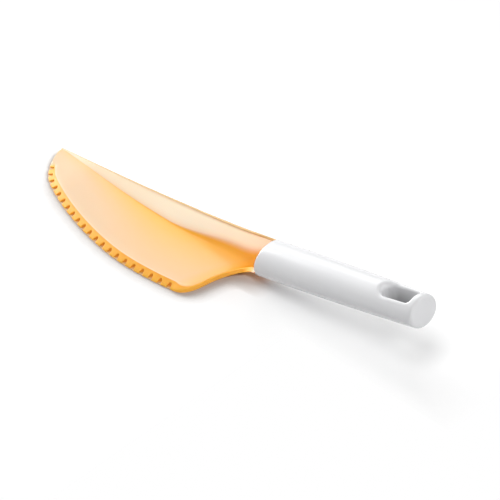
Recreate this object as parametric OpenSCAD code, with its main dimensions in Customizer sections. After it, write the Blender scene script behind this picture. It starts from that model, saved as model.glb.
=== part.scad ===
// Dessert knife: a plastic blade that cuts and serves, and a hollow plastic handle pushed on its tang.
// The knife rests as on a table: the blade's underside is the plane z = 0 and the handle rises.
// Inside the modules x runs from the tip to the handle, and the cutting edge is on the -y side.

/* [Blade] */
// Length of the blade from the tip to the handle's front rim
blade_len = 167.4; // [155:1:180]
// Distance from the handle's centre plane to the lowest point of the cutting edge
blade_reach = 47.8; // [43:0.2:50]
// Distance from the tip to that lowest point, the belly
belly_x = 98; // [90:1:104]
// Distance along the blade to where the round of the tip ends
tip_run = 15.7; // [13:0.1:18]
// Distance across the blade to where the round of the tip ends
tip_reach = 25.9; // [23:0.1:28]
// Thickness of the flat of the blade
plate_t = 3.2; // [2.6:0.1:3.6]
// Thickness of the flat at the tip
tip_t = 0.9; // [0.7:0.1:1.2]
// Height of the back of the blade above the table at the tip
back_tip_z = 0.8; // [0.6:0.1:1.2]
// Thickness of the back's top edge
back_t = 1.6; // [1.2:0.1:2]
// Distance of the heel's back edge from the handle's front rim
heel_gap = 21; // [19:0.5:25]
// Size of the heel's round corner
heel_r = 10.2; // [7:0.1:12]
// Rise of the cutting edge from the belly to the heel's corner
heel_rise = 3.8; // [2:0.2:5]
// Swing of the valley towards the cutting edge
valley_dip = 4.4; // [2:0.2:6]
// Swing of the valley towards the back where it nears the neck
valley_swing = 7.4; // [6:0.2:8]

/* [Cutting edge] */
// Widest run of the bevel that carries the teeth
bevel_w = 4.2; // [3.6:0.2:5.6]
// Thickness left at the cutting edge
edge_t = 0.8; // [0.6:0.1:1.2]
// Spacing of the notches along the edge
tooth_pitch = 6.55; // [5.5:0.05:6.8]
// Number of notches
notch_count = 21; // [15:1:21]
// Distance of the first notch from the tip, along the edge
first_notch = 20.6; // [18:0.1:22]
// Width of a notch at its round inner end
notch_w = 2.2; // [1.4:0.1:2.6]
// Reach of a notch in from the edge
notch_depth = 2.8; // [1.8:0.1:3.2]
// Thickness left under a notch
notch_floor = 0.4; // [0.3:0.05:0.6]

/* [Neck] */
// Height of the handle's axis above the table at the front rim
neck_z = 16; // [15:0.5:18]
// Wall of the neck's gutter
neck_t = 3; // [2.4:0.1:3.4]
// Step from the handle's skin down to the neck
neck_step = 0.4; // [0.2:0.1:0.8]
// Distance from the handle's centre plane to the near side of the waist
waist = 8.4; // [7:0.2:10]
// Angle on the rim at which the near wall of the gutter ends
near_wall_angle = 214; // [208:1:225]
// Angle on the rim at which the back of the blade meets the handle
back_angle = 54; // [48:1:60]

/* [Handle] */
// Length of the handle along its axis
handle_len = 119; // [105:1:130]
// Rise of the handle's axis above the table
handle_rise = 15; // [12:0.5:17]
// Width of the handle at the front rim
front_w = 24.3; // [22.5:0.1:26]
// Height of the handle at the front rim, square to its axis
front_h = 21.2; // [20:0.1:23]
// Width of the handle at its end
end_w = 21; // [20:0.1:23]
// Height of the handle at its end
end_h = 18.2; // [17:0.1:20]
// Swell of the handle's sides half way along
swell = 0.5; // [0:0.1:1]
// Wall of the hollow handle
handle_wall = 1.4; // [1.2:0.1:1.8]
// Radius round the end face
end_r = 1.8; // [1:0.1:2.4]

/* [Hanging slot] */
// Length of the slot along the handle
slot_len = 21.5; // [18:0.5:24]
// Clear width of the slot
slot_w = 11; // [9.6:0.2:12]
// Distance of the slot from the end face
slot_inset = 5.4; // [4.6:0.1:7]
// Radius of the slot's corners nearer the blade
slot_front_r = 4.4; // [3:0.2:4.6]
// Radius of the slot's corners nearer the end
slot_back_r = 1.8; // [1:0.1:3]
// Wall of the tube that the slot makes through the hollow handle
slot_wall = 1.5; // [1.2:0.1:2]
// Radius of the slot's rounded edge at the end nearer the end face
slot_edge_r = 2; // [1:0.1:2.4]

/* [Joint] */
// Length of the blade's tang inside the handle
tang_len = 20; // [15:1:34]
// Wall of the tang
tang_wall = 1.6; // [1.2:0.1:2.2]
// Gap all round between tang and handle
tang_gap = 0.15; // [0.1:0.05:0.3]
// Gap between the neck's shoulder and the handle's front rim
seam_gap = 0.1; // [0.05:0.05:0.2]
// Thickness of the wall that closes the gutter at the handle
bulkhead_t = 3; // [2.4:0.1:4]

/* [Hidden] */
blade_colour = [0.98, 0.66, 0.25];
handle_colour = [0.94, 0.94, 0.95];

// Smooth step from 0 at lo to 1 at hi, and a straight mix of two values
function ease(lo, hi, x) = let(k = min(1, max(0, (x - lo) / (hi - lo)))) k * k * (3 - 2 * k);
function mix(a, b, k) = a + (b - a) * k;

// Closed solid through a row of rings, each with an even number of points anticlockwise about the row.
// Each end is a strip of triangles between the two halves of its ring.
function end_strip(n, from) = [
    for (j = [0:n / 2 - 2])
        each [[from + j, from + j + 1, from + n - 2 - j], [from + j, from + n - 2 - j, from + n - 1 - j]]
];
function reversed(v) = [for (i = [len(v) - 1:-1:0]) v[i]];
module loft(rings) {
    n = len(rings[0]);
    m = len(rings);
    points = [for (r = rings) each r];
    walls = [
        for (i = [0:m - 2])
            for (j = [0:n - 1])
                let(a = i * n + j, b = i * n + (j + 1) % n)
                    each [[a, b + n, b], [a, a + n, b + n]]
    ];
    last_strip = [for (f = end_strip(n, (m - 1) * n)) reversed(f)];
    polyhedron(points, concat(walls, end_strip(n, 0), last_strip), convexity = 8);
}

// Near outline of the blade in cubic curves: tip, edge to the belly, edge to the heel, heel, waist, neck
heel_x = blade_len - heel_gap;
near_neck_y = -(front_w / 2 - neck_step) * abs(cos(near_wall_angle));
tip_end = [tip_run, -tip_reach];
tip_way = [cos(31), -sin(31)];
belly = [belly_x, -blade_reach];
heel_start = [heel_x - heel_r, -blade_reach + heel_rise];
heel_end = [heel_x - 0.8, -blade_reach + 1.9 * heel_r];
waist_point = [blade_len - 9.5, -waist];
rim_end = [blade_len, near_neck_y];
outline_curves = [
    [[0, 0], [0, -7.6], tip_end - 7.1 * tip_way, tip_end],
    [tip_end, tip_end + 22.4 * tip_way, belly - [26.2, 0], belly],
    [belly, belly + [17, 0], heel_start - [6.5, 1.1], heel_start],
    [heel_start, heel_start + [6.5, 1.1], heel_end - [0.8, 6], heel_end],
    [heel_end, heel_end + [1.4, 11], waist_point - [7, 0], waist_point],
    [waist_point, waist_point + [3.5, 0], rim_end - [3.5, 0], rim_end]
];
outline_steps = [10, 20, 10, 12, 12, 6];
function curve(p, k) = p[0] * pow(1 - k, 3) + 3 * p[1] * k * pow(1 - k, 2) + 3 * p[2] * k * k * (1 - k) + p[3] * pow(k, 3);
outline = [
    for (c = [0:len(outline_curves) - 1])
        for (i = [1:outline_steps[c]])
            curve(outline_curves[c], i / outline_steps[c])
];
outline_last = len(outline) - 1;
// Length along the outline from the tip to one of its points, and the point at a length
function run_to(i) = i == 0 ? norm(outline[0]) : run_to(i - 1) + norm(outline[i] - outline[i - 1]);
runs = [for (i = [0:outline_last]) run_to(i)];
run_x = [for (i = [0:outline_last]) [runs[i], outline[i][0]]];
run_y = [for (i = [0:outline_last]) [runs[i], outline[i][1]]];
function on_edge(d) = [lookup(d, run_x), lookup(d, run_y)];
function slope_at(i) =
    let(step = outline[min(outline_last, i + 1)] - outline[max(0, i - 1)])
    step[1] / max(0.01, step[0]);

// Back of the blade, the valley at its foot and the bend between flat and back
function rim_point(angle, inset) = [
    (front_w / 2 - inset) * cos(angle),
    neck_z + (front_h / 2 / cos(handle_rise) - inset) * sin(angle)
];
back_end = rim_point(back_angle, neck_step);
function back_y(x) = back_end[0] * x / blade_len;
function back_z(x) = let(k = x / blade_len) mix(back_tip_z, back_end[1], 0.62 * k + 0.38 * k * k);
function valley_y(x) = -0.3 - valley_dip * sin(180 * min(1, x / heel_x)) + valley_swing * ease(heel_x - 52, heel_x, x);
function bend_r(x) = mix(3.4, 9, ease(70, heel_x, x));
// Thickness of the flat, run of the bevel and thickness at the edge, which blend at tip and heel
last_notch_x = heel_x - 13;
function flat_t(x) = mix(tip_t, plate_t, ease(0, 30, x));
function at_heel(x) = ease(last_notch_x, heel_x - 2, x);
function back_now(x) = mix(0.65 * tip_t, back_t, ease(0, 30, x));
function bevel_run(x) = mix(mix(0.5, bevel_w, ease(-8, 16, x)), 0.5, at_heel(x));
function edge_now(x) = mix(edge_t, flat_t(x) - 0.4, at_heel(x));

// One side of a section in the y-z plane: edge, flat, bend and leaning back
flat_n = 6;
bend_n = 7;
back_n = 4;
side_n = flat_n + bend_n + back_n;
function side(edge, flat_from, corner, top, radius) =
    let(
        back = top - corner,
        lean = atan2(back[1], back[0]),
        r = min(radius, 0.6 * min(norm(back), corner[0] - flat_from[0]) / tan(lean / 2)),
        bend_from = corner - [r * tan(lean / 2), 0],
        centre = bend_from + [0, r],
        bend_to = centre + r * [sin(lean), -cos(lean)]
    )
    concat(
        [edge],
        [for (i = [0:flat_n - 2]) mix(flat_from, bend_from, i / (flat_n - 1))],
        [for (i = [0:bend_n - 1]) let(a = lean * i / (bend_n - 1)) centre + r * [sin(a), -cos(a)]],
        [for (i = [1:back_n]) mix(bend_to, top, i / back_n)]
    );

// Underside and upper side of the blade where its near outline passes p
function blade_sides(p, slope) =
    let(
        x = p[0],
        t = flat_t(x),
        run = min(bevel_run(x) * norm([1, slope]), 0.3 * (valley_y(x) - p[1])),
        corner = [valley_y(x), 0],
        top = [back_y(x), back_z(x)],
        lean = atan2(top[1], top[0] - corner[0]),
        upper_corner = corner + t * [-tan(lean / 2), 1],
        upper_top = top + back_now(x) * [-sin(lean), cos(lean)]
    )
    [
        side([p[1], 0], [p[1] + run, 0], corner, top, bend_r(x)),
        side([p[1], edge_now(x)], [p[1] + run, t], upper_corner, upper_top, max(bend_r(x) - t, 1.5))
    ];

// The same two sides for the neck: a gutter that follows the handle's rim and widens to the outline
function neck_side(p, upper) =
    let(
        drop = back_end[1] - back_z(p[0]),
        inset = [for (i = [0:side_n - 1]) neck_step + (upper ? mix(neck_t, back_t, ease(0.5, 1, i / (side_n - 1))) : 0)],
        ring = [for (i = [0:side_n - 1]) rim_point(mix(near_wall_angle, 360 + back_angle, i / (side_n - 1)), inset[i])]
    )
    [for (q = ring) q + [(p[1] - near_neck_y) * max(0, q[0] / ring[0][0]), -drop]];

// A section of the whole moulding: the blade turns into the neck between heel and rim
function station(i) =
    let(
        p = outline[i],
        x = min(p[0], blade_len - seam_gap),
        blade = blade_sides(p, slope_at(i)),
        across = ease(heel_x - 4, blade_len - 2, x),
        up = pow(across, 1.5),
        sides = [
            for (u = [0, 1])
                let(neck = neck_side(p, u == 1))
                    [for (j = [0:side_n - 1]) [mix(blade[u][j][0], neck[j][0], across), mix(blade[u][j][1], neck[j][1], up)]]
        ]
    )
    [for (q = concat(sides[0], reversed(sides[1]))) [x, q[0], q[1]]];

// Notch with a round inner end and flared sides, open upwards and away from the blade
notch_flare = 1.2;
module notch() {
    out = notch_depth + 2;
    translate([0, 0, notch_floor]) linear_extrude(height = 2 * plate_t) {
        translate([0, notch_w / 2]) circle(d = notch_w, $fn = 24);
        polygon([
            [-notch_w / 2, notch_w / 2],
            [notch_w / 2, notch_w / 2],
            [notch_w / 2 + notch_flare, -out],
            [-notch_w / 2 - notch_flare, -out]
        ]);
    }
}
module serration() {
    for (i = [0:notch_count - 1]) {
        d = first_notch + i * tooth_pitch;
        way = on_edge(d + 1) - on_edge(d - 1);
        translate(on_edge(d)) rotate(atan2(way[1], way[0])) translate([0, notch_depth - notch_w]) notch();
    }
}

// Oval sections of the handle, with s along its axis: upright at the front rim, then square to the axis
ring_n = 48;
function half_size(front, end, s) = let(k = s / handle_len) mix(front, end, k) / 2 + swell * 4 * k * (1 - k);
function half_w(s) = half_size(front_w, end_w, s);
function half_h(s) = half_size(front_h, end_h, s);
function handle_ring(s, inset) = [
    for (j = [0:ring_n - 1])
        let(
            a = 360 * j / ring_n,
            h = (half_h(s) - inset) * sin(a),
            slant = tan(handle_rise) * (1 - ease(0, 12, s))
        )
            [s + h * slant, (half_w(s) - inset) * cos(a), h]
];
module handle_loft(from, to, steps, inset) {
    loft([for (i = [0:steps]) handle_ring(mix(from, to, i / steps), inset)]);
}
module on_axis() {
    translate([blade_len, 0, neck_z]) rotate([0, -handle_rise, 0]) children();
}

module handle_skin() {
    fillet_n = 5;
    side_rings = [for (i = [0:12]) handle_ring((handle_len - end_r) * i / 12, 0)];
    fillet_rings = [
        for (i = [1:fillet_n])
            let(a = 90 * i / fillet_n)
                handle_ring(handle_len - end_r * (1 - sin(a)), end_r * (1 - cos(a)))
    ];
    loft(concat(side_rings, fillet_rings));
}

// Plan of the slot: points on its wall, each with the way out of the slot
slot_stop = handle_len - slot_inset;
slot_start = slot_stop - slot_len;
slot_corners = [[-1, 1], [-1, -1], [1, -1], [1, 1]];
corner_n = 6;
slot_plan = [
    for (c = [0:3])
        for (i = [0:corner_n])
            let(
                r = c < 2 ? slot_front_r : slot_back_r,
                a = 90 * (c + 1 + i / corner_n),
                out = [cos(a), sin(a)],
                centre = [c < 2 ? slot_start + r : slot_stop - r, slot_corners[c][1] * (slot_w / 2 - r)]
            )
                [centre + r * out, out]
];
// The slot's edge is rounded where it meets the oval skin, and twice as much at the front
function skin_h(s, y) = half_h(s) * sqrt(max(0.1, 1 - pow(y / half_w(s), 2)));
function slot_ring(angle, face) = [
    for (q = slot_plan)
        let(
            r = slot_edge_r * mix(2, 1, (q[0][0] - slot_start) / slot_len),
            at = q[0] + q[1] * r * (1 - cos(angle))
        )
            [at[0], at[1], face * (skin_h(at[0], at[1]) - r * (1 - sin(angle)))]
];
module slot() {
    last = 75;
    angles = [0:15:last];
    up = [for (a = angles) slot_ring(a, 1)];
    down = [for (a = angles) slot_ring(a, -1)];
    far = [for (face = [-1, 1]) [for (q = slot_ring(last, 1)) [q[0], q[1], face * front_h]]];
    loft(concat([far[0]], reversed(down), up, [far[1]]));
}
module slot_tube() {
    linear_extrude(height = 2 * front_h, center = true) polygon([for (q = slot_plan) q[0] + slot_wall * q[1]]);
}

module tang() {
    inset = handle_wall + tang_gap;
    difference() {
        handle_loft(-bulkhead_t / 2, tang_len, 8, inset);
        handle_loft(bulkhead_t / 2, tang_len + 1, 8, inset + tang_wall);
    }
}

// The origin is under the middle of the whole knife, on the table
far_x = blade_len + (handle_len - end_r) * cos(handle_rise) + (end_h / 2 - end_r) * sin(handle_rise) + end_r;
module place() {
    translate([-far_x / 2, (blade_reach - front_w / 2) / 2, 0]) children();
}

module blade() {
    color(blade_colour) place() {
        difference() {
            loft([for (i = [0:outline_last]) station(i)]);
            serration();
        }
        on_axis() tang();
    }
}

module handle() {
    color(handle_colour) place() on_axis() {
        difference() {
            handle_skin();
            difference() {
                handle_loft(-2, handle_len - 2 * handle_wall, 14, handle_wall);
                slot_tube();
            }
            slot();
        }
    }
}

blade();
handle();
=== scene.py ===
import bpy
import numpy as np
from mathutils import Matrix


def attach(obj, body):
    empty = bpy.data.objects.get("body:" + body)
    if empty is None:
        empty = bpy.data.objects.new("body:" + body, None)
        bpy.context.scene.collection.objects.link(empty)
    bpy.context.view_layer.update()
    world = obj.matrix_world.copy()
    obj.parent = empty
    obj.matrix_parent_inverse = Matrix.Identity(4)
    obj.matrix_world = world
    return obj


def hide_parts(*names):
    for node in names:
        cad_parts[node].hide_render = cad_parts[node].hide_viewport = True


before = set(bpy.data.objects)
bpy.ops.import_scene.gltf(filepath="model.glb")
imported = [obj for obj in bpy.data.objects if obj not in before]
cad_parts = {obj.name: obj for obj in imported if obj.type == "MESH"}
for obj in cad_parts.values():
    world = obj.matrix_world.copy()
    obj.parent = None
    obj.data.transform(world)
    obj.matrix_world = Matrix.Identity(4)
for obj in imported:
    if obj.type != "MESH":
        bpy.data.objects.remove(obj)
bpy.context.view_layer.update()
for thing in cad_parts.values():
    print("frame node", thing.name, len(thing.data.polygons), "faces")

# the tip's place in the shared frame, whose origin is under the middle of the whole knife
tipPlace = np.array([-142.148, 17.825, 0.0])


def smoothStep(lo, hi, x):
    # k is how far x is from lo to hi, held between 0 and 1; the step is 3k² - 2k³
    k = np.clip((x - lo) / (hi - lo), 0, 1)
    return k * k * (3 - 2 * k)


def mixed(a, b, k):
    # a plus k times the way from a to b
    return a + (b - a) * k


def unit(v):
    # v divided by its own length
    return v / np.maximum(np.linalg.norm(v, axis=-1, keepdims=True), 1e-9)


def softMin(a, b, rounding):
    # half of a + b - √((a - b)² + 4 rounding²): the smaller of the two, with a rounded corner between them
    return 0.5 * (a + b - np.sqrt((a - b) ** 2 + 4 * rounding ** 2))


def toFrame(points):
    # points plus the tip's place, in metres
    return (points + tipPlace) / 1000


def gridFaces(rows, cols, closed, first=0):
    # quads of a grid whose point (i, j) has number first + i * cols + j;
    # closed joins the last column to the first
    i = np.arange(rows - 1)[:, None]
    j = np.arange(cols if closed else cols - 1)[None, :]
    k = (j + 1) % cols
    a, b = i * cols + j, i * cols + k
    return np.stack([a, b, b + cols, a + cols], -1).reshape(-1, 4) + first


def makePiece(name, points, faces, material, attributes, sharp=32):
    # one mesh object at the origin from arrays of quads and single rings, without the points that no
    # face uses; an edge that turns by more than sharp degrees stays sharp, and the rest is smooth
    points = toFrame(points)
    used = np.unique(np.concatenate([np.ravel(f) for f in faces]))
    renumber = np.zeros(len(points), int)
    renumber[used] = np.arange(len(used))
    quads = [face for f in faces if np.ndim(f) == 2 for face in renumber[f].tolist()]
    rings = [renumber[f].tolist() for f in faces if np.ndim(f) == 1]
    mesh = bpy.data.meshes.new(name)
    mesh.from_pydata(points[used].tolist(), [], quads + rings)
    for key, values in attributes.items():
        layer = mesh.attributes.new(key, "FLOAT", "POINT")
        layer.data.foreach_set("value", np.ascontiguousarray(values[used], np.float32))
    mesh.shade_smooth()
    mesh.set_sharp_from_angle(angle=np.radians(sharp))
    mesh.materials.append(material)
    mesh.validate()
    thing = bpy.data.objects.new(name, mesh)
    bpy.context.scene.collection.objects.link(thing)
    print(name, len(mesh.vertices), "points", sum(len(p.vertices) - 2 for p in mesh.polygons), "triangles")
    return thing


class Wire:
    # a socket that ordinary arithmetic works on; each operation adds one Math node
    def __init__(self, tree, socket=None):
        self.tree, self.socket = tree, socket

    def add(self, kind, settings=None, inputs=None, out=0):
        # any other node: its settings first, then the values or wires of its sockets
        node = self.tree.nodes.new(kind)
        for key, value in (settings or {}).items():
            setattr(node, key, value)
        for key, value in (inputs or {}).items():
            if isinstance(value, Wire):
                self.tree.links.new(value.socket, node.inputs[key])
            else:
                node.inputs[key].default_value = value
        return Wire(self.tree, node.outputs[out]) if node.outputs else node

    def maths(self, operation, other=0.0, third=0.0):
        # one Math node on this wire and up to two more values or wires
        return self.add("ShaderNodeMath", {"operation": operation}, {0: self, 1: other, 2: third})

    def __add__(self, other):
        return self.maths("ADD", other)

    __radd__ = __add__

    def __mul__(self, other):
        return self.maths("MULTIPLY", other)

    __rmul__ = __mul__

    def __sub__(self, other):
        return self.maths("SUBTRACT", other)

    def __rsub__(self, other):
        return self.maths("MULTIPLY_ADD", -1.0, other)

    def clamped(self):
        # held between 0 and 1
        return self.maths("MINIMUM", 1.0).maths("MAXIMUM", 0.0)

    def ramp(self, start, slope):
        # slope times the distance past start, held between 0 and 1
        return ((self - start) * slope).clamped()

    def tint(self, low, high):
        # colour low where the value is 0 and high where it is 1; either may be a wire
        return self.add("ShaderNodeMix", {"data_type": "RGBA"}, {0: self, 6: low, 7: high}, out=2)

    def sibling(self, out):
        # another output of the same node
        return Wire(self.tree, self.socket.node.outputs[out])

    def into(self, shader, name):
        # links this wire to one of the shader's sockets
        self.tree.links.new(self.socket, shader.inputs[name])


def newMaterial(name):
    # a material with its Principled shader, and a wire to build from
    material = bpy.data.materials.new(name)
    material.use_nodes = True
    return material, material.node_tree.nodes["Principled BSDF"], Wire(material.node_tree)


def rgba(r, g, b):
    return (r, g, b, 1.0)


# what both plastics share
moulded = dict(index=1.5, cloudGloss=0.06, grainGloss=0.04)


def mouldedSkin(w, shader, look, gloss):
    # roughness is gloss plus a small share of a wide cloud and of a fine grain;
    # the grain alone makes the bump
    place = w.add("ShaderNodeTexCoord", out=3)
    cloud = w.add("ShaderNodeTexNoise", None,
                  {"Vector": place, "Scale": look["cloudScale"], "Detail": 3.0, "Roughness": 0.5})
    grain = w.add("ShaderNodeTexNoise", None, {"Vector": place, "Scale": look["grainScale"], "Detail": 2.0})
    uneven = (cloud - 0.5) * moulded["cloudGloss"]
    (gloss + uneven + (grain - 0.5) * moulded["grainGloss"]).into(shader, "Roughness")
    bump = w.add("ShaderNodeBump", None,
                 {"Strength": look["grain"], "Distance": look["grainDepth"], "Height": grain})
    bump.into(shader, "Normal")
    shader.inputs["IOR"].default_value = moulded["index"]
    return cloud


orange = dict(
    # the first colour is the orange's own; the back wall's is a lighter copy of it, painted light; the two
    # darker oranges are painted shade along the back's foot and in the neck's gutter; the notches' darker
    # orange is painted shade in them, and the last one is a painted darker line along the back's top edge
    flat=rgba(0.78, 0.54, 0.33), wall=rgba(0.90, 0.69, 0.49), paintedShade=rgba(0.93, 0.42, 0.025),
    gutterShade=rgba(0.66, 0.21, 0.004), band=rgba(0.95, 0.43, 0.04), gap=rgba(0.70, 0.25, 0.012),
    edge=rgba(0.62, 0.35, 0.09),
    # painted light: emission in place of light that shines through the thin plastic, with a painted white
    # sheen on the back wall
    flatGlow=rgba(0.02, 0.012, 0.004), wallGlow=rgba(0.32, 0.37, 0.34), bandGlow=rgba(0.14, 0.065, 0.008),
    shadeGlow=rgba(0.15, 0.07, 0.003), inside=0.4, insideReach=(1.0, 0.7, 0.5), insideScale=0.005,
    roughness=0.24, toothRoughness=0.30,
    cloudScale=26.0, cloudInShade=0.06, cloudBand=0.10, grainScale=900.0, grain=0.035, grainDepth=0.0004)
orangeMarks = ("paintedShade", "band", "wall", "gutterShade", "gap", "glow", "edge")


def orangePlastic():
    # flat colour or the back wall's lighter one, which is painted light; mixed by the marks of painted shade
    # with the darker oranges along the back's foot and in the neck's gutter, then with band or gap, where
    # the gap is painted shade in the notches, then with the edge's painted darker line
    material, shader, w = newMaterial("orange_plastic")
    paintedShade, band, wall, gutterShade, gap, glow, edge = [
        w.add("ShaderNodeAttribute", {"attribute_name": key}, out=2) for key in orangeMarks]
    cloud = mouldedSkin(w, shader, orange, orange["roughness"] + band * orange["toothRoughness"])
    # the back wall's lighter copy of the orange is painted light
    ground = wall.tint(orange["flat"], orange["wall"])
    shadeColour = gutterShade.tint(orange["paintedShade"], orange["gutterShade"])
    ground = (paintedShade + (cloud - 0.5) * orange["cloudInShade"] * paintedShade).clamped().tint(ground, shadeColour)
    toothed = gap.tint(orange["band"], orange["gap"])
    colour = (band + (cloud - 0.5) * orange["cloudBand"]).clamped().tint(ground, toothed)
    edge.tint(colour, orange["edge"]).into(shader, "Base Color")
    # the emission is painted light: a faint glow on the flat, a stronger one in the painted shade along the
    # back's foot, a white sheen on the back wall and a glow on the band
    low = paintedShade.tint(orange["flatGlow"], gutterShade.tint(orange["shadeGlow"], orange["flatGlow"]))
    shine = glow.tint(low, orange["wallGlow"])
    band.clamped().tint(shine, orange["bandGlow"]).into(shader, "Emission Color")
    shader.inputs["Emission Strength"].default_value = 1.0
    shader.inputs["Subsurface Weight"].default_value = orange["inside"]
    shader.inputs["Subsurface Radius"].default_value = orange["insideReach"]
    shader.inputs["Subsurface Scale"].default_value = orange["insideScale"]
    return material


white = dict(
    # the second colour is the other end of the faint cloud in tone; the last is painted shade, the dark grey
    # down in the slot
    colour=rgba(0.80, 0.80, 0.81), shade=rgba(0.77, 0.775, 0.79), inside=rgba(0.15, 0.148, 0.15),
    roughness=0.22, cloudScale=34.0, grainScale=1100.0, grain=0.03, grainDepth=0.0003)


def whitePlastic():
    # white with a faint cloud in tone and gloss, and a dark grey of painted shade where the mark inner is
    # set in the slot
    material, shader, w = newMaterial("white_plastic")
    cloud = mouldedSkin(w, shader, white, white["roughness"])
    inner = w.add("ShaderNodeAttribute", {"attribute_name": "inner"}, out=2)
    inner.tint(cloud.tint(white["shade"], white["colour"]), white["inside"]).into(shader, "Base Color")
    return material


# the handle's measures, which the blade's neck and tang follow too
handle = dict(
    length=119.0, rise=15.0, neckZ=16.0,
    frontW=24.3, frontH=21.2, endW=21.0, endH=18.2, swell=0.5, wall=1.4,
    upright=12,  # mm over which the sections turn from upright to square across the axis
    rimR=0.45, boreDepth=24.0, endR=1.8, endDome=0.35,
    slotLen=21.5, slotW=11.0, slotInset=5.4, slotFrontR=4.4, slotBackR=1.8, slotEdgeR=2.0,
    slotEdgeGrowth=2,  # times the edge's radius, at the slot's front
    slotFlush=0.12,  # where the first ring on the skin lies past the edge, in the edge's radii
    # the slot's painted shade on its first rings on the upper and on the lower face, how much of it is left
    # on the wall nearer the cutting edge, and over which span of the wall's way out it grows to full
    upperShade=(0.15, 0.1, 0.05), lowerShade=(1, 0.7, 0.3), nearShade=0.35, nearSpan=(-0.3, 0.6),
    around=128, windowFrom=87.4, windowTo=116.2, windowSteps=44,
    windowSide=16)  # each window starts 1 / windowSide of a full turn up from the handle's side
bladeLen = 167.4
rise = np.radians(handle["rise"])


def halfSize(front, end, s):
    # half the size at s along the handle: a straight mix of front and end, with a parabola of swell on it
    k = s / handle["length"]
    return mixed(front, end, k) / 2 + handle["swell"] * 4 * k * (1 - k)


def onAxis(s, y, h):
    # from along, across and above the handle's axis to the knife's own x, y and z
    x = bladeLen + s * np.cos(rise) - h * np.sin(rise)
    z = handle["neckZ"] + s * np.sin(rise) + h * np.cos(rise)
    return np.stack(np.broadcast_arrays(x, y, z), -1)


def handlePoint(s, angle, inset=0.0, part=1.0):
    # oval section at s along the axis: half sizes less inset, times part, by the cosine and the sine of
    # the angle; the sections stand upright at the front
    h = part * (halfSize(handle["frontH"], handle["endH"], s) - inset) * np.sin(angle)
    y = part * (halfSize(handle["frontW"], handle["endW"], s) - inset) * np.cos(angle)
    return onAxis(s + h * np.tan(rise) * (1 - smoothStep(0, handle["upright"], s)), y, h)


blade = dict(
    # the outline's points, and how far its curves are pulled along their ends' directions; heelShare is
    # in heel radii
    reach=47.8, bellyX=98.0, tipRun=15.7, tipReach=25.9, tipTurn=31, waist=8.4, waistGap=9.5,
    heelGap=21.0, heelR=10.2, heelRise=3.8, heelLean=0.8, heelShare=1.9,
    tipPull=(7.6, 7.1), bellyPull=(22.4, 26.2), teethPull=17, heelPull=(6.5, 1.1), heelEndPull=(0.8, 6),
    neckPull=(1.4, 11), waistPull=(7, 3.5),
    # thicknesses and roundings
    flatT=3.2, tipT=0.9, edgeT=0.8, backT=1.6, backTipShare=0.65, thickFrom=30,
    edgeR=0.4, edgeMost=0.45, rimRound=0.07, topR=0.35,  # edgeMost is a share of the edge's thickness
    # the back and its foot
    backTipZ=0.8, backRise=0.62, valleyStart=0.3, valleyDip=4.4, valleySwing=7.4, swingRun=52,
    tipBendR=3.4, bendR=9, leastBendR=1.5, bendMost=0.6, bendFrom=70,  # bendMost is a share of the room
    # the bevel and its notches
    bevel=4.2, smallBevel=0.5, leastBevel=0.3, bevelRoom=0.3, bevelTip=(-8, 16), pastRim=6,
    pitch=6.55, notches=21, firstNotch=20.6, notchW=2.2, notchDepth=2.8, notchFlare=0.2034,
    toothCorner=0.45, notchFloor=0.4, floorFrom=0.3, frontShares=(0.4, 0.7), behindNotch=0.6,
    tipOffset=0.8, offsetRun=12, offsetShare=0.12,
    # the neck, which follows the handle's rim; topTrim is the share of its turn left to the rounded top
    neckT=3.0, neckStep=0.4, neckBevel=2.3, nearWall=214.0, backAngle=54.0, topTrim=0.35 / 210, seam=0.1,
    rowStep=0.9, rowClear=2.5, rowFirst=0.1)
heelX = bladeLen - blade["heelGap"]
bevelEnds = (heelX - 13, heelX - 2)  # where the bevel gets small
bevelTurns = (heelX - 13, heelX - 5)  # where it turns straight across the knife
neckStarts = (heelX - 4, bladeLen - 2)  # where the section turns into the neck's gutter
nearNeckY = -(handle["frontW"] / 2 - blade["neckStep"]) * abs(np.cos(np.radians(blade["nearWall"])))
# columns w across the blade: the edge is 0, and the bevel ends at rimW, the flat at bendW, the bend at
# backW and the back at topW; the line behind the notches is at offsetW
rimW, offsetW, bendW, backW, topW = 1, 1.6, 6, 12, 16


def outlineCurves():
    # control points of the six cubic curves of the near outline, from the tip to the handle's rim
    b = blade
    tipEnd = np.array([b["tipRun"], -b["tipReach"]])
    tipTurn = np.radians(b["tipTurn"])
    tipWay = np.array([np.cos(tipTurn), -np.sin(tipTurn)])
    belly = np.array([b["bellyX"], -b["reach"]])
    heelStart = np.array([heelX - b["heelR"], -b["reach"] + b["heelRise"]])
    heelEnd = np.array([heelX - b["heelLean"], -b["reach"] + b["heelShare"] * b["heelR"]])
    waist = np.array([bladeLen - b["waistGap"], -b["waist"]])
    rimEnd = np.array([bladeLen, nearNeckY])
    tip0, tip1 = b["tipPull"]
    belly0, belly1 = b["bellyPull"]
    waist0, waist1 = b["waistPull"]
    return np.array([
        [[0, 0], [0, -tip0], tipEnd - tip1 * tipWay, tipEnd],
        [tipEnd, tipEnd + belly0 * tipWay, belly - [belly1, 0], belly],
        [belly, belly + [b["teethPull"], 0], heelStart - b["heelPull"], heelStart],
        [heelStart, heelStart + b["heelPull"], heelEnd - b["heelEndPull"], heelEnd],
        [heelEnd, heelEnd + b["neckPull"], waist - [waist0, 0], waist],
        [waist, waist + [waist1, 0], rimEnd - [waist1, 0], rimEnd]])


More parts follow.
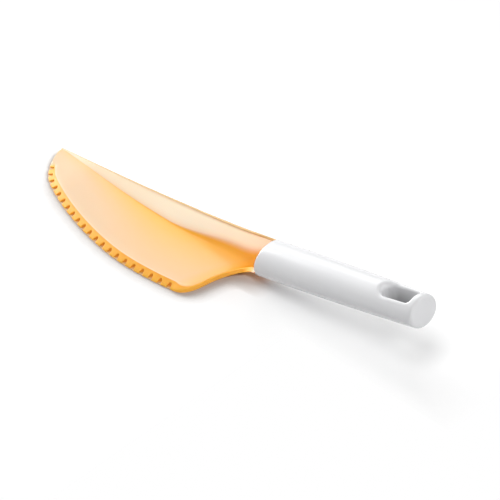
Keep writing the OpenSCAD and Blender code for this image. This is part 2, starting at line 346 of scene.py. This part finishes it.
def outlineAt(t):
    # the whole part of t picks the curve and the rest is k: its four points are weighted by (1-k)³,
    # 3k(1-k)², 3k²(1-k) and k³
    curves = outlineCurves()
    i = np.minimum(t.astype(int), len(curves) - 1)
    k = (t - i)[:, None]
    a, b, c, d = np.moveaxis(curves[i], 1, 0)
    point = a * (1 - k) ** 3 + 3 * b * k * (1 - k) ** 2 + 3 * c * k * k * (1 - k) + d * k ** 3
    way = (b - a) * (1 - k) ** 2 + 2 * (c - b) * k * (1 - k) + (d - c) * k * k
    return point, unit(way)


def outlineRows():
    # where the rows of points leave the outline, as lengths along it: an even step, and a cluster of
    # closer rows at each notch, listed by their distance from its centre line
    b = blade
    t = np.linspace(0, len(outlineCurves()), 3001)
    point, _ = outlineAt(t)
    run = np.concatenate([[0], np.cumsum(np.linalg.norm(np.diff(point, axis=0), axis=1))])
    aside = np.array([0.4, 0.75, 0.95, 1.05, 1.1, 1.18, 1.28, 1.38, 1.446, 1.5, 1.58, 1.7, 1.9, 2.15])
    cluster = np.concatenate([-aside[::-1], [0], aside])
    centres = b["firstNotch"] + b["pitch"] * np.arange(b["notches"])
    even = np.arange(run[t >= b["rowFirst"]][0], run[-1], b["rowStep"])
    even = even[np.abs(even[:, None] - centres).min(1) > b["rowClear"]]
    d = np.unique(np.concatenate([even, (centres[:, None] + cluster).ravel(), [run[-1]]]))
    return d, np.interp(d, run, t), centres


def flatThickness(x):
    # from the tip's thickness to the flat's by a smooth step
    return mixed(blade["tipT"], blade["flatT"], smoothStep(0, blade["thickFrom"], x))


def backTop(x):
    # the back's top edge: straight in plan from the tip to the rim, rising a little faster towards the handle
    k = x / bladeLen
    a = np.radians(blade["backAngle"])
    endY = (handle["frontW"] / 2 - blade["neckStep"]) * np.cos(a)
    endZ = handle["neckZ"] + (handle["frontH"] / 2 / np.cos(rise) - blade["neckStep"]) * np.sin(a)
    even = blade["backRise"]
    return endY * k, mixed(blade["backTipZ"], endZ, even * k + (1 - even) * k * k), endZ


def valleyY(x):
    # foot of the back: half a sine wave towards the edge, and a smooth step towards the back at the neck
    b = blade
    return (-b["valleyStart"] - b["valleyDip"] * np.sin(np.pi * np.minimum(1, x / heelX))
            + b["valleySwing"] * smoothStep(heelX - b["swingRun"], heelX, x))


def bevelRun(p, way):
    # the bevel as a vector from each outline point, square to the outline along the teeth and straight
    # across the knife at the heel and the neck: its direction, its length and how far it has turned
    b = blade
    x, y = p[:, 0], p[:, 1]
    steep = np.hypot(1, way[:, 1] / np.maximum(0.05, way[:, 0]))
    room = b["bevelRoom"] * (valleyY(x) - y)
    bevel = mixed(b["smallBevel"], b["bevel"], smoothStep(*b["bevelTip"], x))
    bevel = mixed(bevel, b["smallBevel"], smoothStep(*bevelEnds, x))
    across = smoothStep(*bevelTurns, x)
    fitting = np.minimum(bevel, np.maximum(room / steep, b["leastBevel"]))
    square = np.stack([-way[:, 1], way[:, 0]], -1) * fitting[:, None]
    straight = np.stack([0 * x, np.minimum(bevel * steep, room)], -1)
    vector = mixed(square, straight, across[:, None])
    reach = np.linalg.norm(vector, axis=1)
    return vector / reach[:, None], reach, across


def notchShape():
    # half width of a notch's round end, length of its flared walls, and half width of its mouth
    halfW = blade["notchW"] / 2
    straight = blade["notchDepth"] - halfW
    return halfW, straight, halfW + blade["notchFlare"] * straight


def notchStart(u):
    # how deep the upper side starts at distance u from a notch's centre line: straight + √(halfW² - u²)
    # in the round end, then the flared wall, then the tooth's corner, an arc of radius toothCorner
    halfW, straight, mouth = notchShape()
    corner = blade["toothCorner"]
    roundEnd = straight + np.sqrt(np.maximum(0, halfW ** 2 - u ** 2))
    wall = straight * np.clip((mouth - u) / (mouth - halfW), 0, 1)
    left = mouth + corner - np.clip(u, mouth, mouth + corner)
    tooth = corner - np.sqrt(np.clip(corner ** 2 - left ** 2, 0, None))
    return np.where(u <= halfW, roundEnd, np.maximum(wall, tooth))


def columnsAcross(span):
    # w of each column in each row: fine ones at the edge, in mm over the row's span, and then the same
    # columns in every row
    fine = np.array([0, 0.05, 0.12, 0.22, 0.4]) / span[:, None]
    last, beforeRim = fine[:, -1:], 0.965
    bevel = last + (beforeRim - last) * np.array([0.35, 0.7, 1.0])
    flat = [1.0, 1.03, 1.1, 1.25, 1.6, 2.2, 3.0, 3.8, 4.6, 5.3, 5.7]
    bend = np.arange(bendW, backW + 0.1, 0.5)
    rest = np.concatenate([flat, bend, [12.6, 13.3, 14.0, 14.7, 15.4, 15.8, 16.0]])
    return np.concatenate([fine, bevel, np.broadcast_to(rest, (len(span), len(rest)))], 1)


def sectionSide(flatFrom, offset, share, rimY, corner, top, radius, x, w):
    # one side of a section beyond the rim line: flat up to bendW, then an arc of the radius in the corner
    # up to backW, then straight to the top; the flat runs by the offset point, or evenly where share is 1
    back = top - corner
    lean = np.arctan2(back[:, 1], back[:, 0])[:, None]
    half = np.tan(lean / 2)
    length = np.linalg.norm(back, axis=1)[:, None]
    room = np.minimum(length, corner[:, :1] - rimY[:, None])
    r = np.minimum(radius[:, None], blade["bendMost"] * room / half)
    cy, cz = corner[:, :1], corner[:, 1:2]
    fromY, centreZ = cy - r * half, cz + r
    a = lean * np.clip((w - bendW) / (backW - bendW), 0, 1)
    y, z = fromY + r * np.sin(a), centreZ - r * np.cos(a)
    k = np.clip((w - backW) / (topW - backW), 0, 1)
    endY, endZ = fromY + r * np.sin(lean), centreZ - r * np.cos(lean)
    y = np.where(w > backW, mixed(endY, top[:, :1], k), y)
    z = np.where(w > backW, mixed(endZ, top[:, 1:2], k), z)
    flat, share = w < bendW, share[:, None]
    early = blade["offsetShare"]
    middleX = mixed(offset[:, :1], mixed(flatFrom[:, :1], x[:, None], early), share)
    middleY = mixed(offset[:, 1:2], mixed(flatFrom[:, 1:2], fromY, early), share)
    k0 = np.clip((w - rimW) / (offsetW - rimW), None, 1)
    k1 = np.clip((w - offsetW) / (bendW - offsetW), 0, None)
    px = np.where(flat, mixed(mixed(flatFrom[:, :1], middleX, k0), x[:, None], k1), x[:, None])
    py = np.where(flat, mixed(mixed(flatFrom[:, 1:2], middleY, k0), fromY, k1), y)
    return px, py, np.where(flat, cz, z)


def gutter(w, y0, drop, upper):
    # the neck: an oval inside the handle's skin line, with its near side moved to the outline and all of
    # it lowered by drop
    k = w / topW - blade["topTrim"] * smoothStep(backW, topW, w)
    a = np.radians(mixed(blade["nearWall"], 360 + blade["backAngle"], k))
    wall = mixed(blade["neckT"], blade["backT"], smoothStep(0.5, 1, w / topW)) if upper else 0
    inset = blade["neckStep"] + wall
    y = (handle["frontW"] / 2 - inset) * np.cos(a)
    z = handle["neckZ"] + (handle["frontH"] / 2 / np.cos(rise) - inset) * np.sin(a)
    return y + (y0[:, None] - nearNeckY) * np.maximum(0, y / y[:, :1]), z - drop[:, None]


def roundedEdge(upper, base, start, u, toothed):
    # a point nearer than r to the edge or to a notch's wall sinks by r - √(r² - (r - near)²) towards
    # the underside
    halfW, straight, _ = notchShape()
    fromEdge = np.linalg.norm(upper - upper[:, :1], axis=-1)
    depth, u = start[:, None] + fromEdge, u[:, None]
    fromWall = np.where(depth < straight, u - (halfW + blade["notchFlare"] * (straight - depth)),
                        np.hypot(u, depth - straight) - halfW)
    fromWall = np.where(toothed[:, None], np.maximum(fromWall, 0), np.inf)
    thick = np.linalg.norm(upper[:, 0] - base, axis=1)[:, None]
    r = np.minimum(blade["edgeR"], blade["edgeMost"] * thick)
    near = np.minimum(np.minimum(fromEdge, fromWall), blade["edgeR"]) / blade["edgeR"] * r
    sink = r - np.sqrt(np.maximum(0, r ** 2 - (r - near) ** 2))
    return upper + sink[..., None] * unit(base - upper[:, 0])[:, None], fromEdge


# where the blade's marks fade in, from nothing at a pair's first number to full at its second: in mm from
# the tip where the name ends in Along, in mm before the first notch for bandBefore, in mm from the upper
# side's first column for gapDeep, and otherwise in columns w
marks = dict(
    bandAcross=(1.1, 1.0), bandAlong=(bladeLen - 1, bladeLen - 9), bandBefore=(5, 1.5),
    # a painted darker line along the back's top edge, fading out towards the tip
    edgeAcross=(15.75, 15.98), edgeAlong=(0, 25), edgeShare=0.7,
    # painted shade in the neck's gutter
    gutterShadeAcross=(11, 6), gutterShadeAlong=neckStarts,
    # painted shade in the notches, and a thin darker line of painted shade at the rim
    gapDeep=(0.22, 0.05), gapStart=0.5, lineFrom=(0.9, 0.96), lineTo=(1.1, 1.02), lineShare=0.45,
    # where the back wall takes its lighter colour of painted light, and where the painted shade ends across
    # the knife and covers all of the upper side towards the neck
    wallAcross=(8, 12.6), shadeAcross=(13.4, 9), shadeAlong=(heelX - 20, bladeLen - 13),
    # how far in mm the painted shade reaches from the back's foot and how strong it is there, at the tip
    # and further on
    zone=(5, 30), zoneAlong=(15, heelX), zoneTo=9, power=(0.3, 1.0), powerAlong=(0, 90),
    # where the painted light of the glow lies
    glowAcross=(8, 12.8), glowTop=(16, 15.3), glowAlong=(0, heelX - 10), glowLow=0.1, glowLoss=0.7,
    # a painted highlight, a thin light line just inside the rim along the teeth
    highlightFrom=(1.08, 1.2), highlightTo=(1.7, 1.4), highlightShare=0.3, highlightAlong=bevelEnds[::-1],
    # the glow's share under the blade; the other two take part of the notches' painted shade and of the
    # band's orange off a notch's thin floor at the outline
    underGlow=0.3, outerGap=0.3, outerBand=0.85)


def bladeMarks(w, d, x0, upper, start, fromEdge, firstNotch):
    # each mark is a product of smooth steps; the painted shade along the back's foot also falls off with the
    # distance from it, by exp(-(distance / zone)^1.5)
    m = marks
    x, y = upper[..., 0], upper[..., 1]
    toothed = smoothStep(firstNotch - m["bandBefore"][0], firstNotch - m["bandBefore"][1], d)[:, None]
    band = smoothStep(*m["bandAcross"], w) * toothed * smoothStep(*m["bandAlong"], x)
    # painted shade: a darker line along the back's top edge
    edge = m["edgeShare"] * smoothStep(*m["edgeAcross"], w) * smoothStep(*m["edgeAlong"], x)
    # painted shade in the neck's gutter, a darker orange
    gutterShade = smoothStep(*m["gutterShadeAlong"], x) * smoothStep(*m["gutterShadeAcross"], w)
    # painted shade: a thin darker line at the rim, and below it the shade in the notches
    line = m["lineShare"] * smoothStep(*m["lineFrom"], w) * smoothStep(*m["lineTo"], w) * toothed
    gap = np.maximum((start > m["gapStart"])[:, None] * smoothStep(*m["gapDeep"], fromEdge), line)
    # painted shade in the valley along the back's foot, and over all of the upper side towards the neck
    off = np.maximum(np.where(w < m["zoneTo"], valleyY(x) - y, 0), 0)
    zone = mixed(*m["zone"], smoothStep(*m["zoneAlong"], x))
    paintedShade = mixed(*m["power"], smoothStep(*m["powerAlong"], x)) * np.exp(-(off / zone) ** 1.5)
    paintedShade = np.maximum(paintedShade, smoothStep(*m["shadeAlong"], x)) * smoothStep(*m["shadeAcross"], w)
    # painted light: the glow on the back wall, less in the painted shade and near the tip
    glow = smoothStep(*m["glowAcross"], w) * smoothStep(*m["glowTop"], w) * (1 - m["glowLoss"] * paintedShade)
    glow = glow * mixed(m["glowLow"], 1, smoothStep(*m["glowAlong"], x))
    # a painted highlight just inside the rim, given through the glow
    highlight = m["highlightShare"] * smoothStep(*m["highlightFrom"], w) * smoothStep(*m["highlightTo"], w) * toothed
    glow = glow + highlight * smoothStep(*m["highlightAlong"], x0)[:, None]
    return dict(band=band, paintedShade=np.clip(paintedShade, 0, 1), wall=smoothStep(*m["wallAcross"], w), gutterShade=gutterShade,
                gap=gap, glow=glow, edge=edge)


def bladeSheets():
    # underside and upper side as grids of rows along the outline and columns w across, the two columns of
    # the front wall and the notches' floor, and the marks for the plastic; a point is its section's, mixed
    # with the gutter's towards the neck
    b = blade
    d, t, centres = outlineRows()
    p, way = outlineAt(t)
    x0, y0 = p[:, 0], p[:, 1]
    step, reach, across = bevelRun(p, way)
    edgeT = mixed(b["edgeT"], flatThickness(x0) - b["edgeR"], smoothStep(*bevelEnds, x0))
    u = np.abs(d[:, None] - centres).min(1)
    start = notchStart(u)
    inner = np.maximum(reach, start + b["behindNotch"])
    blend = smoothStep(*neckStarts, x0)
    w = columnsAcross(mixed(inner - start, b["neckBevel"], blend))

    # the offset line inside the notches, common to both sides, and the section's place along the knife
    behind = np.maximum(reach, b["notchDepth"] + b["behindNotch"]) + 2 * b["behindNotch"]
    offset = mixed(b["tipOffset"], behind, smoothStep(0, b["offsetRun"], d - d[0]))
    x = mixed(x0 + step[:, 0] * offset * smoothStep(0, b["offsetRun"] / 2, d - d[0]), x0, across)
    x = np.minimum(x, bladeLen - b["seam"])
    offset = p + step * offset[:, None]
    rim = p + step * reach[:, None]
    order = np.argsort(rim[:, 0])
    rimY = np.where(across > 0, rim[:, 1], np.interp(x, rim[order, 0], rim[order, 1]))

    # the back: foot, top and lean of its underside, and the thicknesses laid on it
    topY, topZ, endZ = backTop(x)
    footY = valleyY(x)
    lean = np.arctan2(topZ, topY - footY)
    cos, sin = np.cos(lean), np.sin(lean)
    lowTop = np.stack([topY - b["topR"] * cos, topZ - b["topR"] * sin], -1)
    backT = mixed(b["backTipShare"] * b["tipT"], b["backT"], smoothStep(0, b["thickFrom"], x))[:, None]
    flatT = flatThickness(x)
    bendR = mixed(b["tipBendR"], b["bendR"], smoothStep(b["bendFrom"], heelX, x))

    def side(upper):
        # the bevel's columns run in the row's own direction and the rest by sectionSide, and the gutter
        # is blended in towards the neck
        foot = np.stack([footY, 0 * x], -1)
        top, radius, first = lowTop, bendR, 0 * start
        if upper:
            foot = foot + flatT[:, None] * np.stack([-np.tan(lean / 2), 1 + 0 * lean], -1)
            top = lowTop + backT * np.stack([-sin, cos], -1)
            radius, first = np.maximum(bendR - flatT, b["leastBendR"]), start
        px, py, pz = sectionSide(p + step * inner[:, None], offset, across, rimY, foot, top, radius, x, w)
        s = first[:, None] + (inner - first)[:, None] * w
        px = np.where(w < rimW, x0[:, None] + step[:, :1] * s, px)
        py = np.where(w < rimW, y0[:, None] + step[:, 1:] * s, py)
        if upper:
            slope = (flatThickness(px) - edgeT[:, None]) / reach[:, None]
            slant = edgeT[:, None] + slope * (s + np.maximum(w - rimW, 0) * b["pastRim"])
            flat = softMin(slant, flatThickness(px), b["rimRound"] * smoothStep(bendW, bendW - 2, w))
            pz = np.where(w < bendW, flat, pz)
        neckY, neckZ = gutter(w, y0, endZ - topZ, upper)
        px = np.minimum(mixed(px, x[:, None], (blend > 0)[:, None]), bladeLen - b["seam"])
        return np.stack([px, mixed(py, neckY, blend[:, None]), mixed(pz, neckZ, (blend ** 1.5)[:, None])], -1)

    under, upper = side(False), side(True)
    base = under[:, 0].copy()
    base[:, :2] += step * start[:, None]
    upper, fromEdge = roundedEdge(upper, base, start, u, d < centres[-1] + b["pitch"] / 2)

    # front wall and notch floor: two columns between the underside and the upper side
    inNotch = np.clip(start / b["floorFrom"], 0, 1)[:, None, None]
    floorZ = np.full(len(d), b["notchFloor"])
    floorEnds = np.stack([np.stack([x0, y0, floorZ], -1), np.stack([base[:, 0], base[:, 1], floorZ], -1)], 1)
    shares = np.array(b["frontShares"])[:, None]
    front = mixed(mixed(under[:, :1], upper[:, :1], shares), floorEnds, inNotch)
    return under, upper, front, bladeMarks(w, d, x0, upper, start, fromEdge, centres[0])


def bladePiece(material):
    # each row is a ring: out on the underside, half an oval over the top by cosine and sine, back on the
    # upper side and down the front wall; quads join the rings, and strips close the first and last one
    under, upper, front, masks = bladeSheets()
    middle, half = (under[:, -1] + upper[:, -1]) / 2, (under[:, -1] - upper[:, -1]) / 2
    out = unit(under[:, -1] - under[:, -2]) * blade["topR"]
    turn = np.radians([30, 60, 90, 120, 150])
    cap = middle[:, None] + half[:, None] * np.cos(turn)[:, None] + out[:, None] * np.sin(turn)[:, None]
    rings = np.concatenate([under, cap, upper[:, ::-1], front[:, ::-1]], 1)
    rows, cols = rings.shape[:2]
    count = under.shape[1]
    j = np.arange(count - 1)
    last = count + len(turn) + count - 1  # the upper side's first column, at the edge
    strip = np.stack([j, last - j, last - 1 - j, j + 1], -1)
    capRing = np.arange(count - 1, count + len(turn) + 1)
    edgeRing = np.concatenate([[0], np.arange(last, cols)])
    end = (rows - 1) * cols
    faces = [gridFaces(rows, cols, True), strip, strip[:, ::-1] + end, capRing[::-1], capRing + end,
             edgeRing[::-1], edgeRing + end]
    spread = {}
    outer = dict(gap=marks["outerGap"], band=1 - marks["outerBand"] * masks["gap"][:, :1])
    for key, mask in masks.items():
        low = marks["underGlow"] * mask if key == "glow" else mask
        ends = np.concatenate([mask[:, :1], mask[:, :1] * outer.get(key, 1)], 1)
        onTop = np.repeat(mask[:, -1:], len(turn), 1)
        spread[key] = np.concatenate([low, onTop, mask[:, ::-1], ends], 1).ravel()
    return makePiece("blade_skin", rings.reshape(-1, 3), faces, material, spread)


tang = dict(
    # its marks of painted shade, as the tang sits in the dark inside the handle
    around=96, gap=0.15, paintedShade=0.8, gutterShade=1.0,
    places=(-1.9, -1.5, -1.1, 4, 10, 20, 20, 10, 1.5, 1.5),  # mm along the handle, in the order of the skin
    insets=(0.4, 0, 0, 0, 0, 0, 1.6, 1.6, 1.6, 2.2))  # mm in from the tang's own outside


def tangPiece(material):
    # hollow tang: oval rings at the places along the handle, each less its own inset; its marks paint it
    # in the darker oranges of painted shade
    around = tang["around"]
    s = np.array(tang["places"])
    inset = handle["wall"] + tang["gap"] + np.array(tang["insets"])
    angle = np.linspace(0, 2 * np.pi, around, endpoint=False)
    points = handlePoint(s[:, None], angle[None, :], inset[:, None]).reshape(-1, 3)
    ring = np.arange(around)
    faces = [gridFaces(len(s), around, True), ring[::-1], ring + (len(s) - 1) * around]
    values = {key: np.full(len(points), 0.0) for key in orangeMarks}
    values.update({key: np.full(len(points), tang[key]) for key in ("paintedShade", "gutterShade")})
    return makePiece("blade_tang", points, faces, material, values)


def skinHeight(s, y):
    # height of the oval skin above the axis plane: half height by the square root of 1 - (y / half width)²
    w = halfSize(handle["frontW"], handle["endW"], s)
    return halfSize(handle["frontH"], handle["endH"], s) * np.sqrt(np.maximum(0.05, 1 - (y / w) ** 2))


def slotPlan(acrossSteps, alongSteps):
    # loop round the slot's wall, with the way out of it and the edge's radius there: four sides cut at
    # the middle of each corner's arc, each measured along half an arc, a straight and half an arc
    front, back = handle["slotFrontR"], handle["slotBackR"]
    s1 = handle["length"] - handle["slotInset"]
    s0 = s1 - handle["slotLen"]
    y1 = handle["slotW"] / 2

    def side(count, r0, r1, start, way, out):
        # start is the full side's corner point; way runs along the side and out points outwards
        length = np.linalg.norm(way)
        way, out, start = np.array(way) / length, np.array(out, float), np.array(start, float)
        arc0, arc1 = r0 * np.pi / 4, r1 * np.pi / 4
        total = arc0 + (length - r0 - r1) + arc1
        q = total * np.arange(count) / count
        turn0, turn1 = np.clip((arc0 - q) / r0, 0, None), np.clip((q - (total - arc1)) / r1, 0, None)
        straight = np.clip(q - arc0, 0, length - r0 - r1)[:, None]
        normal = out * np.cos(turn0 + turn1)[:, None] + way * (np.sin(turn1) - np.sin(turn0))[:, None]
        r = np.where(turn0 > 0, r0, r1)[:, None]
        centre = start + way * (r0 + straight) - out * r
        return centre + normal * r, normal

    sides = [side(acrossSteps, front, front, (s0, -y1), (0, 2 * y1), (-1, 0)),
             side(alongSteps, front, back, (s0, y1), (s1 - s0, 0), (0, 1)),
             side(acrossSteps, back, back, (s1, y1), (0, -2 * y1), (1, 0)),
             side(alongSteps, back, front, (s1, -y1), (s0 - s1, 0), (0, -1))]
    at, out = np.concatenate([s[0] for s in sides]), np.concatenate([s[1] for s in sides])
    growth = mixed(handle["slotEdgeGrowth"], 1, (at[:, 0] - s0) / handle["slotLen"])
    return at, out, handle["slotEdgeR"] * growth


def handleRings():
    # the skin's rings from the end of the bore out round the rim and along to the domed end: their places
    # along the axis, their insets, their parts of the section, and the number of the window's first ring
    h = handle
    lip, arc = np.radians([0, 22, 45, 67, 90]), np.radians([15, 30, 45, 60, 75, 90])
    dome = np.array([0.85, 0.6, 0.35, 0.12])
    plain = h["length"] - h["endR"]
    before = np.concatenate([np.linspace(2, 12, 8), np.linspace(15, h["windowFrom"] - 2, 24)])
    window = np.linspace(h["windowFrom"], h["windowTo"], h["windowSteps"] + 1)
    along = np.concatenate([before, window, [plain]])
    bore = [h["boreDepth"], 8, h["rimR"] / 2, 0, 0]
    boreInset = h["wall"] - np.array([0, 0, 0, 0.1, h["rimR"]])
    s = np.concatenate([
        bore, h["rimR"] * (1 - np.cos(lip)), along,
        plain + h["endR"] * np.sin(arc), h["length"] + h["endDome"] * (1 - dome ** 2)])
    inset = np.concatenate([
        boreInset, h["rimR"] * (1 - np.sin(lip)), 0 * along,
        h["endR"] * (1 - np.cos(arc)), [h["endR"]] * len(dome)])
    part = np.concatenate([np.ones(len(s) - len(dome)), dome])
    return s, inset, part, len(bore) + len(lip) + len(before)


def windowLoop(face, first, lo, hi):
    # rows and columns of the skin's points round one face's window, in the order of the slot's plan:
    # across the front, along, across the back, along; the lower face's columns mirror the upper face's
    steps = handle["windowSteps"]
    row = np.concatenate([np.full(hi - lo, first), np.arange(first, first + steps),
                          np.full(hi - lo, first + steps), np.arange(first + steps, first, -1)])
    col = np.concatenate([np.arange(hi, lo, -1), np.full(steps, lo), np.arange(lo, hi), np.full(steps, hi)])
    return row, col if face > 0 else handle["around"] - col


def slotRings(face, at, out, edge, loopPlan):
    # rings from the slot's wall over the rounded edge, moved out by edge (1 - cos) and down by
    # edge (1 - sin), and on over the skin by shares of the way to the window's loop
    turn = np.radians([0, 8, 18, 30, 42, 54, 66, 75])[:, None]
    plan = at + out * (edge * (1 - np.cos(turn)))[..., None]
    height = skinHeight(plan[..., 0], plan[..., 1]) - edge * (1 - np.sin(turn))
    share = np.array([0, 0.15, 0.35, 0.6, 0.82])[:, None, None]
    fill = mixed(plan[-1] + out * (handle["slotFlush"] * edge)[:, None], loopPlan, share)
    plan = np.concatenate([plan, fill])
    height = np.concatenate([height, skinHeight(fill[..., 0], fill[..., 1])])
    # the mark inner: painted shade, dark down in the slot, and less so on the wall nearer to the cutting edge
    down = handle["upperShade"] if face > 0 else handle["lowerShade"]
    dark = np.concatenate([down, np.zeros(len(plan) - len(down))])[:, None]
    dark = dark * mixed(handle["nearShade"], 1, smoothStep(*handle["nearSpan"], out[:, 1]))
    return onAxis(plan[..., 0], plan[..., 1], face * height), dark


def handlePiece(material):
    # the oval skin as a grid along the axis and round it, with a window on each face for the slot; rings
    # fill each window from the slot's rounded edge outwards, and the slot's wall joins the two faces
    h = handle
    around, steps = h["around"], h["windowSteps"]
    angle = 2 * np.pi * np.arange(around) / around
    s, inset, part, first = handleRings()
    grid = handlePoint(s[:, None], angle[None, :], inset[:, None], part[:, None])
    rows = len(s)
    quads = gridFaces(rows, around, True)
    row, col = np.divmod(quads[:, 0], around)
    lo = around // h["windowSide"]
    hi = around // 2 - lo
    col = col % (around // 2)
    inWindow = (row >= first) & (row < first + steps) & (col >= lo) & (col < hi)
    ring = np.arange(around)
    faces = [quads[~inWindow], ring[::-1], ring + (rows - 1) * around]

    at, out, edge = slotPlan(hi - lo, steps)
    count = len(at)
    j = np.arange(count)
    following = (j + 1) % count
    points, inner, wallEnds = [grid.reshape(-1, 3)], [np.zeros(rows * around)], []
    total = rows * around
    for face in (1, -1):
        row, col = windowLoop(face, first, lo, hi)
        loop = row * around + col % around
        loopY = halfSize(h["frontW"], h["endW"], s[row]) * np.cos(angle[col % around])
        rings, dark = slotRings(face, at, out, edge, np.stack([s[row], loopY], -1))
        points.append(rings.reshape(-1, 3))
        inner.append(dark.ravel())
        last = total + (len(rings) - 1) * count
        outer = np.stack([last + j, last + following, loop[following], loop[j]], -1)
        patch = np.concatenate([gridFaces(len(rings), count, True, total), outer])
        faces.append(patch if face > 0 else patch[:, ::-1])
        wallEnds.append(total + j)
        total += len(rings) * count
    topRing, lowRing = wallEnds
    faces.append(np.stack([lowRing, np.roll(lowRing, -1), np.roll(topRing, -1), topRing], -1))
    return makePiece("handle_skin", np.concatenate(points), faces, material,
                     dict(inner=np.concatenate(inner)))


orangeMaterial, whiteMaterial = orangePlastic(), whitePlastic()
print("plastics done")
bladeThing = bladePiece(orangeMaterial)
tangThing = tangPiece(orangeMaterial)
handleThing = handlePiece(whiteMaterial)
for thing, slot in ((bladeThing, "blade"), (tangThing, "blade"), (handleThing, "handle")):
    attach(thing, "root")
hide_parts("blade")
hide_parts("handle")
print("knife done")

# each ramp on the floor is a start in metres and a slope: the contact shade is only by the cutting edge,
# and the camera sees white far out, past the handle's end and in front of the handle
floor = dict(
    size=3.0, sink=5e-5, roughness=0.9, samples=16,
    colour=rgba(0.80, 0.80, 0.805), seen=rgba(1.0, 1.0, 1.0), contact=rgba(0.50, 0.46, 0.44),
    contactReach=0.012, contactPower=18.0, contactY=(0.016, -160.0), contactX=(0.034, -40.0),
    whiteFar=(0.19, 7.0), whitePast=(0.135, 22.0), whiteFrontY=(0.012, -60.0), whiteFrontX=(0.025, 25.0))


def floorPiece():
    # flat square a hair under the knife; the camera sees it a little lighter, so that it ends in white
    a, z = floor["size"], -floor["sink"]
    mesh = bpy.data.meshes.new("floor")
    mesh.from_pydata([(-a, -a, z), (a, -a, z), (a, a, z), (-a, a, z)], [], [(0, 1, 2, 3)])
    thing = bpy.data.objects.new("floor", mesh)
    bpy.context.scene.collection.objects.link(thing)
    material, shader, w = newMaterial("white_floor")
    camera = w.add("ShaderNodeLightPath", out=0)
    place = w.add("ShaderNodeTexCoord", out=3)
    x = w.add("ShaderNodeSeparateXYZ", None, {"Vector": place}, out=0)
    y = x.sibling(1)
    clear = w.add("ShaderNodeAmbientOcclusion", {"samples": floor["samples"]},
                  {"Distance": floor["contactReach"]}, out=1)
    byEdge = y.ramp(*floor["contactY"]) * x.ramp(*floor["contactX"])
    contact = (1 - clear.maths("POWER", floor["contactPower"])) * byEdge
    seen = contact.tint(floor["seen"], floor["contact"])
    camera.tint(floor["colour"], seen).into(shader, "Base Color")
    shader.inputs["Roughness"].default_value = floor["roughness"]
    shader.inputs["Specular IOR Level"].default_value = 0.0
    far = w.add("ShaderNodeVectorMath", {"operation": "LENGTH"}, {0: place}, out=1)
    front = y.ramp(*floor["whiteFrontY"]) * x.ramp(*floor["whiteFrontX"])
    past = x.ramp(*floor["whitePast"]).maths("MAXIMUM", front)
    blank = far.ramp(*floor["whiteFar"]).maths("MAXIMUM", past) * camera
    glow = w.add("ShaderNodeEmission", None, {"Color": floor["seen"], "Strength": 1.0})
    both = w.add("ShaderNodeMixShader", None, {0: blank, 1: Wire(w.tree, shader.outputs[0]), 2: glow})
    both.into(material.node_tree.nodes["Material Output"], "Surface")
    mesh.materials.append(material)


sky = dict(colour=rgba(1.0, 1.0, 1.0), dome=0.14, gloss=0.5)


def skyLight():
    # even dome for the surfaces, plain white for the camera, and a slightly brighter room in the gloss
    world = bpy.data.worlds.new("studio")
    bpy.context.scene.world = world
    world.use_nodes = True
    world.node_tree.nodes.clear()
    w = Wire(world.node_tree)
    camera = w.add("ShaderNodeLightPath", out=0)
    strength = sky["dome"] + camera.sibling("Is Glossy Ray") * (sky["gloss"] - sky["dome"])
    seen = (camera + camera.sibling("Is Transmission Ray")).clamped()
    strength = strength * (1 - seen) + seen
    back = w.add("ShaderNodeBackground", None, {"Color": sky["colour"], "Strength": strength})
    w.add("ShaderNodeOutputWorld", None, {"Surface": back})


lamps = dict(
    key=dict(place=(0.34, -0.50, 1.26), power=8.2, size=0.6),
    side=dict(place=(-1.33, 0.12, 0.42), power=18.0, size=0.7),
    back=dict(place=(0.83, 0.83, 0.76), power=3.4, size=0.7),
    far=dict(place=(-0.77, 0.79, 0.86), power=6.4, size=1.1),
    fill=dict(place=(1.30, 0.20, 0.35), power=3.0, size=0.7))


def placed(thing, right, up, back, place):
    # the columns of the object's matrix are its right, up and back axes and its place
    thing.matrix_world = Matrix([[right[i], up[i], back[i], place[i]] for i in range(3)] + [[0, 0, 0, 1]])
    bpy.context.scene.collection.objects.link(thing)
    return thing


def softBox(name, place, power, size):
    # round lamp that looks at the middle of the knife
    light = bpy.data.lights.new(name, "AREA")
    light.shape, light.size, light.energy = "DISK", size, power
    back = unit(np.array(place))
    right = unit(np.cross([0, 0, 1.0], back))
    placed(bpy.data.objects.new(name, light), right, np.cross(back, right), back, place)


# far off with a long lens, because the teeth have an even pitch in the photo
lookout = dict(
    right=(0.71691, 0.69717, 0.0), up=(-0.45277, 0.4656, 0.76041), back=(0.53013, -0.54514, 0.64945),
    place=(1.0483, -1.04916, 1.28422))
longLens = dict(lens=252, sensor_width=36, clip_end=20)


def farCamera():
    # the camera with its long lens, at the place and by the axes of the lookout
    camera = bpy.data.cameras.new("camera")
    for key, value in longLens.items():
        setattr(camera, key, value)
    bpy.context.scene.camera = placed(bpy.data.objects.new("camera", camera), **lookout)


floorPiece()
skyLight()
for name, lamp in lamps.items():
    softBox(name, **lamp)
farCamera()
bpy.context.scene.view_settings.view_transform = "Standard"
print("studio done")
